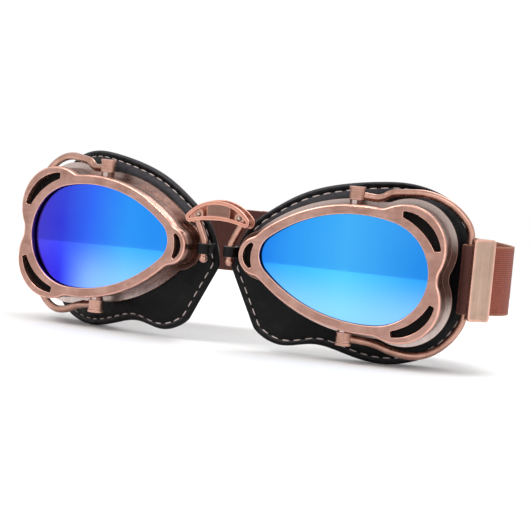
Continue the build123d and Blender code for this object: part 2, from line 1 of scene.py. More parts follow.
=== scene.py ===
"""Split-frame motorcycle goggles: studio, camera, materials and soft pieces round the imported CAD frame.

Everything is in metres in the frame's own axes: +X to the wearer's left, +Z up, facing -Y.
"""
from math import cos, pi, radians, sin, tan

import bmesh
import bpy
import numpy as np
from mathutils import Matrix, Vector, noise
from mathutils.bvhtree import BVHTree


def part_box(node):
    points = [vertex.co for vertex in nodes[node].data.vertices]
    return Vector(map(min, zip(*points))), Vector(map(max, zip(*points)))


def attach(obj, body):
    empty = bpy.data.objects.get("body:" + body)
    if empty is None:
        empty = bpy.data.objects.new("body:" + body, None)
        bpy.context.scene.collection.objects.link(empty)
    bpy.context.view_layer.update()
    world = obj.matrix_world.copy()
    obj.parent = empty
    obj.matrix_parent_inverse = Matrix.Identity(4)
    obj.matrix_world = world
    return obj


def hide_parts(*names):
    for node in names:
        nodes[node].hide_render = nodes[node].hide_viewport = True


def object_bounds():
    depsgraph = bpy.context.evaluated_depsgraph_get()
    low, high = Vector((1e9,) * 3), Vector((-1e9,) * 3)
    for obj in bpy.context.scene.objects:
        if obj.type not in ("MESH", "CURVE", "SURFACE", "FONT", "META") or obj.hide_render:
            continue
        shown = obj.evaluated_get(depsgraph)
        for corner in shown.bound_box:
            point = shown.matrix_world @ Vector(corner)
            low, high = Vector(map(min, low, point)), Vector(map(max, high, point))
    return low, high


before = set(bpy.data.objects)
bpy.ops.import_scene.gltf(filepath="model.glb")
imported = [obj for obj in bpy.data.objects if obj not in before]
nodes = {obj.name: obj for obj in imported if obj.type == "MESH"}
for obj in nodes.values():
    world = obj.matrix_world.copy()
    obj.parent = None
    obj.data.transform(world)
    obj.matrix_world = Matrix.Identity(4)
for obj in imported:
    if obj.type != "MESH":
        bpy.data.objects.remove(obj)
cad_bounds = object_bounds()

MM = 0.001
SIDES = {"right": 1, "left": -1}

# Camera: the photograph's viewing angle, and a long lens from just under a metre
CAMERA_AZIMUTH = radians(22.5)
CAMERA_ELEVATION = radians(3.67)
CAMERA_ROLL = radians(5.49)
CAMERA_DISTANCE = 0.963
CAMERA_TARGET = Vector((0.0205, 0, -0.0035))
CAMERA_LENS = 169.1

# Cups: each pad's radial lines start here, and the cup's rear face slants back by this much
CUP_X = 51.3 * MM
REAR_SLANT = radians(13.7)

# Middle of the wearer's head, which the hems face
HEAD_Y = 157 * MM

# Leather pads: lines round the eye, and what lies along each line from the rim (HEM_STEPS in mm)
PAD_LINES = 360
HEM_THICKNESS = 2.0 * MM
HEM_TURNS = 7
HEM_STEPS = (0.0, 0.4, 0.8, 1.1, 1.4, 1.7, 2.0, 2.4, 3.0, 3.8, 4.8, 6.2)
STITCH_STEP = HEM_STEPS.index(1.7)
INNER_STEPS = 11
BACK_STEPS = 9
BACK_MARGIN = 2.5 * MM
RIM_PROBE = 0.4 * MM
OPENING_GAP = 0.3 * MM
FLANGE_GAP = 0.25 * MM

# The front of a pad is one curve: how far it leaves the cup and the rim before it bends, as shares
COLLAR_DEPTH = 0.72
COLLAR_REACH = 0.04
RIM_REACH = 0.62
RIM_DEPTH = 0.05
CURVE_POINTS = 60

# Stitches: dashes of thread in a groove, with rucks between them
STITCH_PITCH = 4.5 * MM
STITCH_LENGTH = 3.6 * MM
STITCH_DRIFT = 0.25 * MM
STITCH_ARCH = 0.42 * MM
STITCH_SINK = 0.22 * MM
THREAD_RADIUS = 0.22 * MM
THREAD_SIDES = 8
THREAD_SECTIONS = 9
GROOVE_DEPTH = 0.42 * MM
GROOVE_WIDTH = 0.55 * MM
RUCK_DEPTH = 0.16 * MM
RUCK_WIDTH = 1.6 * MM

# Leather's soft unevenness: (folds a metre, height), and how plump it is inside and outside the stitches
FOLDS = ((110, 0.34 * MM), (320, 0.12 * MM))
FOLD_FADE = 2.0 * MM
PLUMP_INSIDE = 0.35 * MM
PLUMP_REACH = 6 * MM
PLUMP_OUTSIDE = 0.1 * MM

# Past these distances from the middle the pad is held down on its CAD solid, where the strap swings past
TEMPLE_START = 74 * MM
TEMPLE_FULL = 82 * MM
TEMPLE_LIFT = 0.1 * MM

# Foam rings
FOAM_VOXEL = 1.8 * MM
FOAM_SMOOTHING = 18
FOAM_SWELL = 0.9 * MM
CLOTH_FRAMES = 20
CLOTH_PRESSURE = 4.0

# Nose tabs: the strip's half thickness, and where its two ends come together behind the leg
TAB_WALL = 0.52 * MM
TAB_NECK = 4.2 * MM
TAB_ENDS = 0.62 * MM
TAB_OFFSET = 0.4 * MM
TAB_ROWS = 7

# Floor: a round sheet, level with the object's lowest point
FLOOR_RADIUS = 0.46

# Vent screens
WIRE_PITCH = 0.62 * MM

# Webbing: ribs along its length, and edges that are drawn in
RIB_PITCH = 27 * MM / 34
RIB_DEPTH = 0.09 * MM
RIB_CUTS = 6
SELVEDGE_SINK = 0.25 * MM


# ---------------------------------------------------------------- materials


def srgb(red, green, blue):
    """Linear colour, with alpha, from display values of 0 to 255."""
    linear = []
    for value in (red / 255, green / 255, blue / 255):
        linear.append(value / 12.92 if value <= 0.04045 else ((value + 0.055) / 1.055) ** 2.4)
    return (*linear, 1.0)


def material(name, **sockets):
    """New material on one Principled shader; each keyword sets the socket of that name."""
    made = bpy.data.materials.new(name)
    made.use_nodes = True
    shader = made.node_tree.nodes["Principled BSDF"]
    for socket, value in sockets.items():
        shader.inputs[socket.replace("_", " ")].default_value = value
    return made, made.node_tree, shader


def add(tree, kind, inputs=None, **settings):
    """Shader node with its own settings; each input takes a value or another node's output."""
    made = tree.nodes.new("ShaderNode" + kind)
    for key, value in settings.items():
        setattr(made, key, value)
    for key, value in (inputs or {}).items():
        if isinstance(value, bpy.types.NodeSocket):
            tree.links.new(value, made.inputs[key])
        else:
            made.inputs[key].default_value = value
    return made


def calc(tree, operation, first, second=0.0, clamp=False):
    """Output of a Math node."""
    return add(tree, "Math", {0: first, 1: second}, operation=operation, use_clamp=clamp).outputs[0]


def spread(tree, value, low, high, to_low=0.0, to_high=1.0):
    """Output of a Map Range node, clamped and eased."""
    inputs = {"Value": value, "From Min": low, "From Max": high, "To Min": to_low, "To Max": to_high}
    return add(tree, "MapRange", inputs, interpolation_type="SMOOTHSTEP").outputs[0]


def blend_colour(tree, factor, first, second):
    """Output of a colour Mix node."""
    mix = tree.nodes.new("ShaderNodeMix")
    mix.data_type = "RGBA"
    for socket, value in ((mix.inputs[0], factor), (mix.inputs[6], first), (mix.inputs[7], second)):
        if isinstance(value, bpy.types.NodeSocket):
            tree.links.new(value, socket)
        else:
            socket.default_value = value
    return mix.outputs[2]


def places(tree, stretch=(1, 1, 1)):
    """Object coordinates, multiplied by stretch along each axis."""
    coords = add(tree, "TexCoord").outputs["Object"]
    return add(tree, "Mapping", {"Vector": coords, "Scale": stretch}).outputs[0]


def grain(tree, scale, stretch=(1, 1, 1), detail=3.0, roughness=0.5):
    """Noise output at that many features a metre."""
    inputs = {"Vector": places(tree, stretch), "Scale": scale, "Detail": detail, "Roughness": roughness}
    return add(tree, "TexNoise", inputs).outputs["Fac"]


def bump(tree, shader, *layers):
    """Bump the shader by layers of (height, depth in metres), one over another."""
    normal = None
    for height, depth in layers:
        inputs = {"Height": height, "Distance": depth, "Strength": 1.0}
        if normal:
            inputs["Normal"] = normal
        normal = add(tree, "Bump", inputs).outputs[0]
    tree.links.new(normal, shader.inputs["Normal"])


def rubbed_edges(tree, radius, start, end):
    """Mask of the outer edges: how far a rounded normal leans from the true one."""
    rounded = add(tree, "Bevel", {"Radius": radius}, samples=6).outputs[0]
    true_normal = add(tree, "NewGeometry").outputs["Normal"]
    lean = add(tree, "VectorMath", {0: rounded, 1: true_normal}, operation="DOT_PRODUCT").outputs["Value"]
    return spread(tree, lean, 1 - end, 1 - start, 1.0, 0.0)


def facing(tree, direction):
    """How squarely the surface faces that direction of the frame, from -1 to 1."""
    normal = add(tree, "TexCoord").outputs["Normal"]
    return add(tree, "VectorMath", {0: normal, 1: direction}, operation="DOT_PRODUCT").outputs["Value"]


def copper(
    name, dark, light, edge, brush, roughness=0.34,
    front_edges=False, mottling=0.5, rub=0.7 * MM, shelf_reflection=None, tooth=0.014 * MM,
):
    """Antique copper plate: mottled, brushed along one axis, and paler where edges are rubbed.

    brush stretches the strokes along each axis, and tooth is their depth. front_edges finds the edges by how
    far they turn from straight forwards. shelf, if given, is the pale colour of a painted reflection on
    faces that look straight forwards, above and below; across the middle height they are painted dark, as
    painted shade.
    """
    skin, tree, shader = material(name, Metallic=1.0, Anisotropic=0.35)
    mottle = spread(tree, grain(tree, 110, detail=5, roughness=0.65), 0.36, 0.66)
    strokes = grain(tree, 420, brush, detail=4, roughness=0.7)
    specks = grain(tree, 2600, detail=2)
    brushed = calc(tree, "MULTIPLY", strokes, 1.1 - mottling)
    shade = calc(tree, "ADD", calc(tree, "MULTIPLY", mottle, mottling), brushed)
    colour = blend_colour(tree, calc(tree, "SUBTRACT", shade, 0.08, clamp=True), dark, light)
    if front_edges:
        lean = facing(tree, (0, -1, 0))
        worn = spread(tree, lean, 0.935, 0.975, 1.0, 0.0)
        deep = spread(tree, lean, -0.1, 0.45)
        mask = calc(tree, "MULTIPLY", worn, deep)
    else:
        mask = rubbed_edges(tree, rub, 0.01, 0.09)
    # Painted light on forward-facing faces: a pale painted reflection above and below, and painted shade in
    # the dark colour across the middle height
    if shelf_reflection:
        level = spread(tree, facing(tree, (0, -1, 0)), 0.9, 0.96, 0.0, 0.85)
        height = calc(tree, "ABSOLUTE", add(tree, "SeparateXYZ", {0: places(tree)}).outputs["Z"])
        shelf_reflection_and_shade = blend_colour(tree, spread(tree, height, 7 * MM, 17 * MM), dark, shelf_reflection)
        colour = blend_colour(tree, level, colour, shelf_reflection_and_shade)
    patchy = spread(tree, grain(tree, 260, detail=3), 0.3, 0.55, 0.55, 1.0)
    colour = blend_colour(tree, calc(tree, "MULTIPLY", mask, patchy), colour, edge)
    tree.links.new(colour, shader.inputs["Base Color"])
    dull = spread(tree, strokes, 0.3, 0.7, roughness - 0.06, roughness + 0.1)
    tree.links.new(dull, shader.inputs["Roughness"])
    bump(tree, shader, (strokes, tooth), (specks, tooth * 0.2))
    return skin


def mirror_lens():
    """Blue mirror coating that drifts to violet at one temple, with a painted reflection low down, over a
    smoky lens seen from behind.
    """
    skin, tree, shader = material("lens_mirror", Metallic=1.0, Roughness=0.035)
    across = add(tree, "SeparateXYZ", {0: places(tree)})
    inputs = {"Value": across.outputs["X"], "From Min": -0.088, "From Max": 0.088}
    along = add(tree, "MapRange", inputs).outputs[0]
    ramp = add(tree, "ValToRGB", {"Fac": along})
    stops = (
        (0.03, srgb(66, 34, 200)), (0.10, srgb(50, 52, 220)), (0.18, srgb(52, 108, 248)),
        (0.28, srgb(46, 150, 250)), (0.42, srgb(36, 142, 244)), (0.60, srgb(26, 124, 238)),
        (0.68, srgb(44, 156, 248)), (0.80, srgb(64, 176, 250)), (0.97, srgb(38, 142, 236)),
    )
    elements = ramp.color_ramp.elements
    elements.remove(elements[1])
    elements[0].position, elements[0].color = stops[0]
    for position, colour in stops[1:]:
        elements.new(position).color = colour
    haze = spread(tree, grain(tree, 28, detail=2), 0.35, 0.7, 0.0, 0.06)
    front = blend_colour(tree, haze, ramp.outputs[0], srgb(120, 200, 255))
    # Painted reflection low on the lenses: paler blue from X of -72 mm onwards, as a bright floor mirrored
    # in them, and a darker painted violet out at the far temple at -X
    low = spread(tree, across.outputs["Z"], -22 * MM, 0.0, 0.42, 0.0)
    pale = calc(tree, "MULTIPLY", low, spread(tree, across.outputs["X"], -72 * MM, -52 * MM))
    front = blend_colour(tree, pale, front, srgb(176, 218, 255))
    violet = spread(tree, across.outputs["X"], -74 * MM, -56 * MM, 0.6, 0.0)
    front = blend_colour(tree, calc(tree, "MULTIPLY", low, violet), front, srgb(22, 12, 150))
    behind = spread(tree, facing(tree, (0, 1, 0)), 0.2, 0.6)
    colour = blend_colour(tree, behind, front, srgb(20, 26, 44))
    tree.links.new(colour, shader.inputs["Base Color"])
    smears = spread(tree, grain(tree, 160, (1, 1, 0.4), detail=4), 0.45, 0.75, 0.03, 0.06)
    tree.links.new(smears, shader.inputs["Roughness"])
    return skin


def leather():
    """Black leather: pebbled grain, fine creases and a painted highlight, paler grey on the slopes that face
    up and forwards.
    """
    skin, tree, shader = material("pad_leather", Specular_IOR_Level=0.14)
    warped = calc(tree, "MULTIPLY", grain(tree, 500, detail=3), 0.0009)
    coords = add(tree, "VectorMath", {0: places(tree), 1: warped}, operation="ADD").outputs[0]
    cell_inputs = {"Vector": coords, "Scale": 1500}
    cells = add(tree, "TexVoronoi", cell_inputs, feature="DISTANCE_TO_EDGE").outputs["Distance"]
    pebbles = spread(tree, cells, 0.0, 0.22)
    creases = grain(tree, 260, detail=6, roughness=0.62)
    patches = spread(tree, grain(tree, 90, detail=4), 0.35, 0.7)
    colour = blend_colour(tree, patches, srgb(5, 4, 5), srgb(14, 12, 13))
    colour = blend_colour(tree, spread(tree, cells, 0.0, 0.08, 0.55, 0.0), colour, srgb(3, 3, 3))
    # Painted highlight: slopes facing up and forwards are painted pale grey, as sheen from the light above
    painted_sheen = spread(tree, facing(tree, (0, -0.5, 0.86)), 0.45, 0.95)
    colour = blend_colour(tree, painted_sheen, colour, srgb(58, 56, 60))
    tree.links.new(colour, shader.inputs["Base Color"])
    tree.links.new(spread(tree, patches, 0.0, 1.0, 0.42, 0.3), shader.inputs["Roughness"])
    bump(tree, shader, (creases, 0.16 * MM), (pebbles, 0.05 * MM))
    return skin


def thread():
    """Off-white stitching thread, twisted."""
    skin, tree, shader = material("stitch_thread", Roughness=0.8, Sheen_Weight=0.25)
    twist = grain(tree, 5200, (1, 1, 0.35), detail=2)
    colour = blend_colour(tree, spread(tree, twist, 0.3, 0.7), srgb(150, 134, 128), srgb(206, 190, 184))
    tree.links.new(colour, shader.inputs["Base Color"])
    bump(tree, shader, (twist, 0.08 * MM))
    return skin


def foam_fabric():
    """Dark velour over foam."""
    skin, tree, shader = material("face_foam", Roughness=0.95, Sheen_Weight=0.45, Sheen_Roughness=0.4)
    pile = grain(tree, 3800, detail=3, roughness=0.7)
    nap = grain(tree, 150, detail=4)
    shade = calc(tree, "ADD", calc(tree, "MULTIPLY", pile, 0.6), calc(tree, "MULTIPLY", nap, 0.5))
    colour = blend_colour(tree, shade, srgb(16, 16, 18), srgb(58, 57, 61))
    tree.links.new(colour, shader.inputs["Base Color"])
    bump(tree, shader, (nap, 0.25 * MM), (pile, 0.12 * MM))
    return skin


def webbing_fabric(low, high):
    """Reddish brown woven elastic: ribs along it, threads across it, paler selvedges, and painted shade on
    its inner side.
    """
    skin, tree, shader = material("strap_webbing", Roughness=0.85, Sheen_Weight=0.06, Sheen_Roughness=0.45)
    height = add(tree, "SeparateXYZ", {0: places(tree)}).outputs["Z"]
    along = calc(tree, "MULTIPLY", calc(tree, "SUBTRACT", height, low), pi / RIB_PITCH)
    crest = calc(tree, "ABSOLUTE", calc(tree, "SINE", along))
    threads = grain(tree, 2400, (1, 1, 0.12), detail=3, roughness=0.6)
    fuzz = grain(tree, 5200, detail=2)
    fade = grain(tree, 60, detail=4)
    shade = calc(tree, "MULTIPLY", crest, spread(tree, threads, 0.3, 0.65, 0.45, 1.0))
    colour = blend_colour(tree, shade, srgb(88, 37, 27), srgb(152, 74, 56))
    colour = blend_colour(tree, spread(tree, fade, 0.4, 0.7, 0.0, 0.3), colour, srgb(112, 52, 33))
    top = spread(tree, height, high - 0.9 * MM, high - 0.5 * MM)
    bottom = spread(tree, height, low + 0.5 * MM, low + 0.9 * MM, 1.0, 0.0)
    border = calc(tree, "MAXIMUM", top, bottom)
    selvedge = calc(tree, "MULTIPLY", border, spread(tree, threads, 0.3, 0.6, 0.3, 0.9))
    colour = blend_colour(tree, selvedge, colour, srgb(150, 98, 68))
    # Painted shade: faces turned towards -Y, the strap's inner side, are painted dark brown
    inside = spread(tree, facing(tree, (0, -1, 0)), 0.6, 0.9, 0.0, 0.75)
    colour = blend_colour(tree, inside, colour, srgb(34, 13, 9))
    tree.links.new(colour, shader.inputs["Base Color"])
    bump(tree, shader, (threads, 0.1 * MM), (fuzz, 0.05 * MM))
    return skin


def vent_mesh():
    """Fine black wire mesh."""
    skin, tree, shader = material("vent_mesh", Roughness=0.6, Specular_IOR_Level=0.15)
    part = add(tree, "SeparateXYZ", {0: places(tree)})
    diagonals = []
    for operation in ("ADD", "SUBTRACT"):
        slope = calc(tree, operation, part.outputs["X"], part.outputs["Z"])
        wave = calc(tree, "SINE", calc(tree, "MULTIPLY", slope, pi / WIRE_PITCH))
        diagonals.append(calc(tree, "ABSOLUTE", wave))
    wires = spread(tree, calc(tree, "MULTIPLY", *diagonals), 0.12, 0.5, 1.0, 0.0)
    colour = blend_colour(tree, wires, srgb(1, 1, 1), srgb(20, 16, 14))
    tree.links.new(colour, shader.inputs["Base Color"])
    bump(tree, shader, (wires, 0.15 * MM))
    return skin


def rubber():
    """Matt black rubber."""
    skin, tree, shader = material("gasket_rubber", Roughness=0.7)
    dust = grain(tree, 1800, detail=4)
    colour = blend_colour(tree, dust, srgb(10, 10, 11), srgb(34, 33, 34))
    tree.links.new(colour, shader.inputs["Base Color"])
    bump(tree, shader, (dust, 0.03 * MM))
    return skin


def steel():
    """Satin steel with a warm tarnish."""
    skin, tree, shader = material("screw_steel", Metallic=1.0)
    marks = grain(tree, 1500, detail=5)
    colour = blend_colour(tree, marks, srgb(120, 100, 88), srgb(205, 190, 180))
    tree.links.new(colour, shader.inputs["Base Color"])
    tree.links.new(spread(tree, marks, 0.3, 0.7, 0.25, 0.42), shader.inputs["Roughness"])
    bump(tree, shader, (marks, 0.01 * MM))
    return skin


def floor_material():
    """Plain pale floor."""
    skin, tree, shader = material("floor", Roughness=0.75)
    shader.inputs["Base Color"].default_value = srgb(246, 246, 246)
    return skin


# ---------------------------------------------------------------- mesh helpers


def new_object(name, points, faces, skin, smooth=True):
    """Mesh object from points and faces."""
    mesh = bpy.data.meshes.new(name)
    mesh.from_pydata([tuple(p) for p in points], [], faces)
    mesh.update()
    mesh.polygons.foreach_set("use_smooth", [smooth] * len(mesh.polygons))
    mesh.materials.append(skin)
    made = bpy.data.objects.new(name, mesh)
    bpy.context.scene.collection.objects.link(made)
    return made


def add_modifier(piece, kind, **settings):
    """Modifier of that kind on a piece."""
    made = piece.modifiers.new(kind.lower(), kind)
    for key, value in settings.items():
        setattr(made, key, value)
    return made


def dress(node, skin):
    """Give a CAD node its material."""
    slots = nodes[node].data.materials
    slots.clear()
    slots.append(skin)


def node_mesh(node):
    """bmesh copy of a CAD node, with its split vertices joined."""
    copy = bmesh.new()
    copy.from_mesh(nodes[node].data)
    bmesh.ops.remove_doubles(copy, verts=copy.verts, dist=1e-6)
    return copy


def edge_ends(edges):
    """The two ends of each edge, as arrays."""
    starts = np.array([edge.verts[0].co for edge in edges])
    ends = np.array([edge.verts[1].co for edge in edges])
    return starts, ends


def crossings(ends, centre, direction):
    """(distance, Y) wherever edges cross a radial line, seen from the front."""
    start, end = ends
    run = end - start
    offset = start - np.array(centre)
    turn = direction[0] * run[:, 2] - direction[2] * run[:, 0]
    turn[np.abs(turn) < 1e-12] = 1e-12
    share = -(direction[0] * offset[:, 2] - direction[2] * offset[:, 0]) / turn
    spots = offset + run * share[:, None]
    distance = spots[:, 0] * direction[0] + spots[:, 2] * direction[2]
    hit = (share >= 0) & (share <= 1) & (distance > 0)
    return distance[hit], spots[hit, 1]


def plane_cut(node, origin, normal):
    """Ends of the edges that a plane cuts in a CAD node."""
    copy = node_mesh(node)
    whole = copy.verts[:] + copy.edges[:] + copy.faces[:]
    cut = bmesh.ops.bisect_plane(copy, geom=whole, plane_co=origin, plane_no=normal)["geom_cut"]
    ends = edge_ends([piece for piece in cut if isinstance(piece, bmesh.types.BMEdge)])
    copy.free()
    return ends


def along_line(points, distances):
    """Points at those distances along a polyline."""
    steps = np.linalg.norm(np.diff(points, axis=0), axis=1)
    total = np.concatenate([[0], np.cumsum(steps)])
    return np.stack([np.interp(distances, total, points[:, axis]) for axis in range(3)], axis=1)


def ring_faces(rings, per_ring):
    """Quads of a closed mesh of rings, closed both ways."""
    faces = []
    for ring in range(rings):
        following = (ring + 1) % rings
        for spot in range(per_ring):
            beside = (spot + 1) % per_ring
            faces.append((
                ring * per_ring + spot, ring * per_ring + beside,
                following * per_ring + beside, following * per_ring + spot,
            ))
    return faces


# ---------------------------------------------------------------- soft pieces


def hold_to_temple(spot, tree):
    """A point of the pad's front, drawn down onto the CAD pad as it nears the temple."""
    near, normal = tree.find_nearest(Vector(spot))[:2]
    proud = (Vector(spot) - near).dot(normal) - TEMPLE_LIFT
    hold = min(1.0, max(0.0, (abs(spot[0]) - TEMPLE_START) / (TEMPLE_FULL - TEMPLE_START)))
    return spot - np.array(normal) * max(0.0, proud) * hold


def surface_y(tree, spot, ahead):
    """Y of the CAD pad's front (ahead) or back at a point's X and Z, or None beside it."""
    toward = 1.0 if ahead else -1.0
    hit = tree.ray_cast(Vector((spot[0], -toward, spot[2])), Vector((0, toward, 0)))[0]
    return hit.y if hit else None


def depth_only(y):
    """Vector along Y."""
    return np.array((0, y, 0))


def pad_profile(line, shape):
    """Closed section of a leather pad on one radial line, from the stitched hem round to the cup."""
    centre, outer, collar, tree, slant_y = shape
    base = np.array(centre)
    direction = np.array((cos(line), 0, sin(line)))
    reached = crossings(outer, centre, direction)[0]
    distances, depths = crossings(collar, centre, direction)
    collar_r = distances.max()
    collar_y = depths[distances.argmax()]
    rim_r = reached.max() - HEM_THICKNESS / 2
    rim_y = surface_y(tree, base + direction * (rim_r - RIM_PROBE), True)
    opening_r = reached.min() + OPENING_GAP

    start = base + direction * collar_r + depth_only(collar_y)
    end = base + direction * rim_r + depth_only(rim_y)
    reach = rim_r - collar_r
    depth = rim_y - collar_y
    first = start + depth_only(depth * COLLAR_DEPTH) + direction * reach * COLLAR_REACH
    second = end - direction * reach * RIM_REACH - depth_only(depth * RIM_DEPTH)
    t = np.linspace(0, 1, CURVE_POINTS)[:, None]
    curve = start * (1 - t) ** 3 + first * 3 * t * (1 - t) ** 2 + second * 3 * t**2 * (1 - t) + end * t**3
    curve = np.array([hold_to_temple(spot, tree) for spot in curve[::-1]])
    length = np.linalg.norm(np.diff(curve, axis=0), axis=1).sum()
    near = np.array([step * MM for step in HEM_STEPS])
    rest = np.linspace(near[-1], length, INNER_STEPS + 1)[1:]
    front = along_line(curve, np.concatenate([near, rest]))

    inner = np.array((-end[0], HEAD_Y - end[1], 0))
    inner /= np.linalg.norm(inner)
    middle = end + inner * HEM_THICKNESS / 2
    hem = []
    for turn in np.linspace(pi, 0, HEM_TURNS + 1)[:-1]:
        hem.append(middle + (direction * sin(turn) - inner * cos(turn)) * HEM_THICKNESS / 2)

    back = []
    for distance in np.linspace(opening_r, rim_r - BACK_MARGIN, BACK_STEPS):
        spot = base + direction * distance
        back.append(spot + depth_only(surface_y(tree, spot, False) or rim_y))
    wall_front = base + direction * opening_r
    wall_front = wall_front + depth_only(slant_y(wall_front[0]))
    wall = [wall_front + (back[0] - wall_front) * share for share in (0.0, 0.3, 0.7)]
    lip = [front[-1] + (wall_front - front[-1]) * share for share in (0.4, 0.8)]
    return list(front) + lip + wall + back + hem


def round_track(distances, total, looped):
    """Values at those distances round a closed track, whose running lengths are in total."""
    columns = [np.interp(distances, total, looped[:, axis], period=total[-1]) for axis in range(3)]
    return np.stack(columns, axis=1)


def running_lengths(track):
    """Distance round a closed track at each of its points and back at the first."""
    steps = np.linalg.norm(np.roll(track, -1, axis=0) - track, axis=1)
    return np.concatenate([[0], np.cumsum(steps)])


def stitch_row(name, track, normals, skin):
    """Dashes of thread along a closed track, each arched over the leather and sunk at its ends."""
    total = running_lengths(track)
    looped = np.vstack([track, track[:1]])
    raised = np.vstack([normals, normals[:1]])
    count = int(total[-1] / STITCH_PITCH)
    angles = [2 * pi * side / THREAD_SIDES for side in range(THREAD_SIDES)]
    points = []
    faces = []
    for number in range(count):
        drift = noise.noise(Vector((number * 1.7, 0, 0))) * STITCH_DRIFT
        at = number * total[-1] / count + drift + np.linspace(0, 1, THREAD_SECTIONS) * STITCH_LENGTH
        spots = round_track(at, total, looped)
        ups = round_track(at, total, raised)
        first = len(points)
        last = THREAD_SECTIONS - 1
        for section in range(THREAD_SECTIONS):
            arch = sin(pi * section / last) ** 0.6
            ahead = spots[min(section + 1, last)] - spots[max(section - 1, 0)]
            ahead /= np.linalg.norm(ahead)
            up = ups[section] / np.linalg.norm(ups[section])
            aside = np.cross(ahead, up)
            middle = spots[section] + up * (arch * STITCH_ARCH - STITCH_SINK)
            width = THREAD_RADIUS * (0.45 + 0.55 * arch)
            points += [middle + (aside * cos(a) * 1.15 + up * sin(a) * 0.85) * width for a in angles]
        for section in range(last):
            low = first + section * THREAD_SIDES
            for side in range(THREAD_SIDES):
                beside = (side + 1) % THREAD_SIDES
                quad = (low + side, low + beside, low + THREAD_SIDES + beside, low + THREAD_SIDES + side)
                faces.append(quad)
        faces.append(tuple(range(first, first + THREAD_SIDES))[::-1])
        faces.append(tuple(range(len(points) - THREAD_SIDES, len(points))))
    return new_object(name, points, faces, skin)


def shape_leather(points, normals):
    """Press the groove, rucks and folds into the front of a pad, by moving its lines of points."""
    track = points[:, STITCH_STEP]
    travel = running_lengths(track)
    count = int(travel[-1] / STITCH_PITCH)
    for line in range(PAD_LINES):
        pucker = 0.5 + 0.5 * cos(2 * pi * travel[line] / travel[-1] * count)
        for spot in range(len(HEM_STEPS) + INNER_STEPS):
            gap = np.linalg.norm(points[line, spot] - points[line, STITCH_STEP])
            groove = np.exp(-((gap / GROOVE_WIDTH) ** 2)) * GROOVE_DEPTH
            ruck = np.exp(-((gap / RUCK_WIDTH) ** 2)) * pucker * RUCK_DEPTH
            place = Vector(points[line, spot])
            fold = sum(noise.noise(place * pitch) * height for pitch, height in FOLDS)
            fade = min(1.0, gap / FOLD_FADE)
            plump = PLUMP_OUTSIDE
            if spot > STITCH_STEP:
                plump = PLUMP_INSIDE * sin(pi * min(1.0, gap / PLUMP_REACH))
            points[line, spot] += normals[line, spot] * ((plump + fold) * fade - groove - ruck)


def make_pad(side, skin, thread_skin):
    """Leather pad from the cup's flange out to a rolled, stitched hem."""
    sign = SIDES[side]
    node = f"leather_pad_{side}"
    centre = (sign * CUP_X, 0, 0)
    copy = node_mesh(node)
    tree = BVHTree.FromBMesh(copy)
    outer = edge_ends(copy.edges)
    copy.free()
    flange_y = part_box(f"cup_shell_{side}")[1].y
    flange_x = abs(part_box(f"cup_shell_{side}")[sign > 0].x)

    def slant_y(x):
        return flange_y + 0.1 * MM + (x - sign * flange_x) * tan(REAR_SLANT) * sign

    normal = Vector((-sin(REAR_SLANT) * sign, cos(REAR_SLANT), 0))
    collar = plane_cut(node, Vector((sign * flange_x, flange_y + FLANGE_GAP, 0)), normal)
    shape = (centre, outer, collar, tree, slant_y)
    profiles = [pad_profile(2 * pi * line / PAD_LINES, shape) for line in range(PAD_LINES)]
    per_ring = len(profiles[0])
    faces = ring_faces(PAD_LINES, per_ring)
    pad = new_object(f"pad_leather_{side}", np.concatenate(profiles), faces, skin)
    mesh = pad.data
    whole = bmesh.new()
    whole.from_mesh(mesh)
    bmesh.ops.recalc_face_normals(whole, faces=whole.faces)
    whole.to_mesh(mesh)
    whole.free()
    points = np.array([v.co for v in mesh.vertices]).reshape(PAD_LINES, per_ring, 3)
    normals = np.array([v.vector for v in mesh.vertex_normals]).reshape(PAD_LINES, per_ring, 3)
    shape_leather(points, normals)
    mesh.vertices.foreach_set("co", points.reshape(-1))
    mesh.update()
    add_modifier(pad, "SUBSURF", levels=1, render_levels=1)
    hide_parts(node)
    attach(pad, f"cup_{side}")
    track = points[:, STITCH_STEP]
    stitches = stitch_row(f"pad_stitches_{side}", track, normals[:, STITCH_STEP], thread_skin)
    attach(stitches, f"cup_{side}")


def simulate_cushion(piece):
    """Puff a closed piece up as cloth under pressure, and hold each point near where it was."""
    rest = np.array([v.co for v in piece.data.vertices])
    cloth = piece.modifiers.new("cloth", "CLOTH")
    cloth.settings.quality = 4
    cloth.settings.mass = 0.15
    cloth.settings.use_pressure = True
    cloth.settings.uniform_pressure_force = CLOTH_PRESSURE
    cloth.settings.effector_weights.gravity = 0
    scene = bpy.context.scene
    for number in range(1, CLOTH_FRAMES + 1):
        scene.frame_set(number)
    shaped = piece.evaluated_get(bpy.context.evaluated_depsgraph_get()).to_mesh()
    moved = np.array([v.co for v in shaped.vertices])
    piece.modifiers.remove(cloth)
    scene.frame_set(1)
    shift = moved - rest
    size = np.linalg.norm(shift, axis=1)[:, None]
    size[size < 1e-9] = 1e-9
    held = rest + shift / size * np.minimum(size, FOAM_SWELL)
    piece.data.vertices.foreach_set("co", held.reshape(-1))
    piece.data.update()


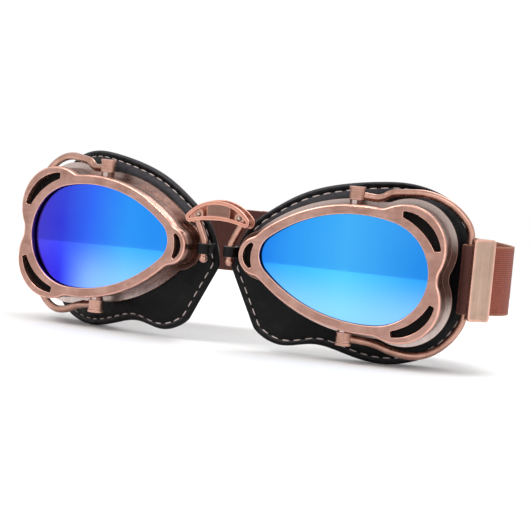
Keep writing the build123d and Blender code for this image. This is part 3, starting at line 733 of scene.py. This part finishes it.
def make_foam(side, skin):
    """Foam ring behind the pad: remeshed, puffed up as cloth and smoothed."""
    node = f"face_foam_{side}"
    copy = node_mesh(node)
    mesh = bpy.data.meshes.new(f"foam_ring_{side}")
    copy.to_mesh(mesh)
    copy.free()
    foam = bpy.data.objects.new(f"foam_ring_{side}", mesh)
    bpy.context.scene.collection.objects.link(foam)
    add_modifier(foam, "REMESH", mode="VOXEL", voxel_size=FOAM_VOXEL)
    add_modifier(foam, "SMOOTH", factor=0.5, iterations=FOAM_SMOOTHING)
    shaped = foam.evaluated_get(bpy.context.evaluated_depsgraph_get())
    baked = bpy.data.meshes.new_from_object(shaped)
    foam.modifiers.clear()
    foam.data = baked
    simulate_cushion(foam)
    foam.data.materials.clear()
    foam.data.materials.append(skin)
    foam.data.polygons.foreach_set("use_smooth", [True] * len(foam.data.polygons))
    add_modifier(foam, "SUBSURF", levels=1, render_levels=1)
    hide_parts(node)
    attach(foam, f"cup_{side}")


def make_tab(side, skin):
    """Leather loop round the bridge's leg, doubled back to the pad."""
    sign = SIDES[side]
    low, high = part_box(f"nose_tab_{side}")
    ring = (high.x - low.x) / 2
    leg_x = (high.x + low.x) / 2
    leg_y = low.y + ring
    radius = ring - TAB_WALL
    back = high.y + 0.4 * MM
    strip = leg_x + sign * TAB_OFFSET
    outside = strip + sign * TAB_ENDS
    inside = strip - sign * TAB_ENDS
    neck = leg_y + TAB_NECK
    path = [(outside, back), (outside, neck)]
    for turn in np.linspace(radians(38), radians(-218), 22):
        path.append((leg_x + sign * radius * cos(turn), leg_y + radius * sin(turn)))
    path += [(inside, neck), (inside, back)]
    height = (high.z - low.z) / 2 - 0.1 * MM
    points = []
    faces = []
    for number, (x, y) in enumerate(path):
        for row in range(TAB_ROWS):
            points.append((x, y, height * (2 * row / (TAB_ROWS - 1) - 1)))
            if number and row:
                here = number * TAB_ROWS + row
                faces.append((here - TAB_ROWS - 1, here - 1, here, here - TAB_ROWS))
    tab = new_object(f"tab_leather_{side}", points, faces, skin)
    add_modifier(tab, "SOLIDIFY", thickness=2 * TAB_WALL, offset=0)
    add_modifier(tab, "BEVEL", width=0.25 * MM, segments=3)
    add_modifier(tab, "SUBSURF", levels=1, render_levels=1)
    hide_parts(f"nose_tab_{side}")
    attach(tab, f"cup_{side}")


def make_webbing(side, skin):
    """Elastic strap half: the CAD band with raised ribs and softened selvedges."""
    node = f"strap_{side}"
    low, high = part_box(node)
    copy = node_mesh(node)
    levels = int(round((high.z - low.z) / RIB_PITCH)) * RIB_CUTS
    for level in range(1, levels):
        height = low.z + (high.z - low.z) * level / levels
        whole = copy.verts[:] + copy.edges[:] + copy.faces[:]
        bmesh.ops.bisect_plane(copy, geom=whole, dist=1e-7, plane_co=(0, 0, height), plane_no=(0, 0, 1))
    copy.normal_update()
    for vertex in copy.verts:
        outward = Vector((vertex.normal.x, vertex.normal.y, 0))
        if outward.length < 1e-6:
            continue
        outward.normalize()
        rib = abs(sin(pi * (vertex.co.z - low.z) / RIB_PITCH))
        selvedge = min(vertex.co.z - low.z, high.z - vertex.co.z)
        vertex.co -= outward * (RIB_DEPTH * (1 - rib) + (SELVEDGE_SINK if selvedge < 0.1 * MM else 0))
    mesh = bpy.data.meshes.new(f"webbing_{side}")
    copy.to_mesh(mesh)
    copy.free()
    mesh.materials.append(skin)
    mesh.polygons.foreach_set("use_smooth", [True] * len(mesh.polygons))
    band = bpy.data.objects.new(f"webbing_{side}", mesh)
    bpy.context.scene.collection.objects.link(band)
    add_modifier(band, "EDGE_SPLIT", split_angle=radians(50))
    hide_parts(node)
    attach(band, f"strap_{side}")


# ---------------------------------------------------------------- studio


def make_camera():
    """Camera at the photograph's viewing angle."""
    azimuth, elevation, roll = CAMERA_AZIMUTH, CAMERA_ELEVATION, CAMERA_ROLL
    back = Vector((sin(azimuth) * cos(elevation), -cos(azimuth) * cos(elevation), sin(elevation)))
    level = Vector((cos(azimuth), sin(azimuth), 0))
    upright = back.cross(level)
    right = level * cos(roll) + upright * sin(roll)
    up = upright * cos(roll) - level * sin(roll)
    data = bpy.data.cameras.new("camera")
    data.lens = CAMERA_LENS
    data.sensor_width = 36
    data.clip_start = 0.01
    camera = bpy.data.objects.new("camera", data)
    bpy.context.scene.collection.objects.link(camera)
    turn = camera.matrix_world.to_3x3()
    turn.col[0] = right
    turn.col[1] = up
    turn.col[2] = back
    camera.matrix_world = turn.to_4x4()
    camera.location = CAMERA_TARGET + back * CAMERA_DISTANCE
    bpy.context.scene.camera = camera


def make_light(name, place, size, power, colour=(1, 1, 1)):
    """Square softbox aimed at the object."""
    data = bpy.data.lights.new(name, "AREA")
    data.size = size
    data.energy = power
    data.color = colour
    lamp = bpy.data.objects.new(name, data)
    bpy.context.scene.collection.objects.link(lamp)
    lamp.location = place
    lamp.rotation_euler = (Vector(place) - CAMERA_TARGET).to_track_quat("Z", "Y").to_euler()


def make_studio():
    """Pale floor under the object, white surroundings and three softboxes."""
    lowest = cad_bounds[0][2]
    rim = [2 * pi * number / 96 for number in range(96)]
    points = [(FLOOR_RADIUS * cos(angle), FLOOR_RADIUS * sin(angle), lowest) for angle in rim]
    floor = new_object("floor", points, [tuple(range(96))], floor_material(), smooth=False)
    world = bpy.data.worlds.new("studio")
    bpy.context.scene.world = world
    world.use_nodes = True
    world.node_tree.nodes["Background"].inputs["Color"].default_value = (1, 1, 1, 1)
    world.node_tree.nodes["Background"].inputs["Strength"].default_value = 1.0
    make_light("key", (-0.5, -0.9, 1.0), 0.6, 9)
    make_light("fill", (1.1, -0.6, 0.5), 0.5, 3)
    make_light("back", (0.1, 0.9, 0.9), 0.6, 5)
    bpy.context.scene.view_settings.view_transform = "Standard"


# ---------------------------------------------------------------- build

make_camera()
make_studio()

BEZEL_COPPER = copper(
    "bezel_copper", srgb(142, 104, 91), srgb(196, 156, 144), srgb(232, 178, 160), (0.12, 1, 1.6),
    front_edges=True, mottling=0.45,
)
# The cup's shelf colour is a painted reflection on the forward-facing flange, with painted shade across its
# middle height
CUP_COPPER = copper(
    "cup_copper", srgb(74, 52, 45), srgb(150, 112, 100), srgb(196, 150, 136), (1, 1, 0.3), 0.3,
    mottling=0.7, rub=0.3 * MM, shelf_reflection=srgb(204, 188, 182), tooth=0.003 * MM,
)
WIRE_COPPER = copper(
    "wire_copper", srgb(150, 112, 96), srgb(208, 162, 146), srgb(222, 172, 156), (1, 1, 0.6), 0.3,
    mottling=0.4,
)
CLAMP_COPPER = copper(
    "clamp_copper", srgb(150, 122, 106), srgb(208, 178, 160), srgb(240, 186, 168), (2.2, 2.2, 0.05),
    mottling=0.15, rub=2.2 * MM,
)
BRIDGE_COPPER = copper(
    "bridge_copper", srgb(104, 78, 68), srgb(160, 124, 110), srgb(214, 150, 132), (0.1, 1, 1),
    mottling=0.3,
)
RIM_COPPER = copper(
    "rim_copper", srgb(176, 120, 102), srgb(224, 162, 142), srgb(244, 186, 166), (0.1, 1, 1),
    mottling=0.4,
)
STEEL = steel()
LENS = mirror_lens()
RUBBER = rubber()
MESH = vent_mesh()
LEATHER = leather()
THREAD = thread()
FOAM = foam_fabric()
strap_low, strap_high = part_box("strap_right")
WEBBING = webbing_fabric(strap_low.z, strap_high.z)

NODE_SKINS = {
    "bezel": BEZEL_COPPER,
    "lens": LENS,
    "lens_gasket": RUBBER,
    "cup_shell": CUP_COPPER,
    "vent_screens": MESH,
    "bezel_screws": STEEL,
    "pivot_studs": WIRE_COPPER,
    "bridge_leg": WIRE_COPPER,
    "bail": WIRE_COPPER,
    "strap_clamp": CLAMP_COPPER,
}
for part_name, part_skin in NODE_SKINS.items():
    for side_name in SIDES:
        dress(f"{part_name}_{side_name}", part_skin)
dress("bridge_inlay", BRIDGE_COPPER)
dress("bridge_front", RIM_COPPER)
dress("bridge_back", RIM_COPPER)
dress("bridge_pins", STEEL)
dress("strap_slider", CLAMP_COPPER)

for side_name in SIDES:
    make_pad(side_name, LEATHER, THREAD)
    make_foam(side_name, FOAM)
    make_tab(side_name, LEATHER)
    make_webbing(side_name, WEBBING)
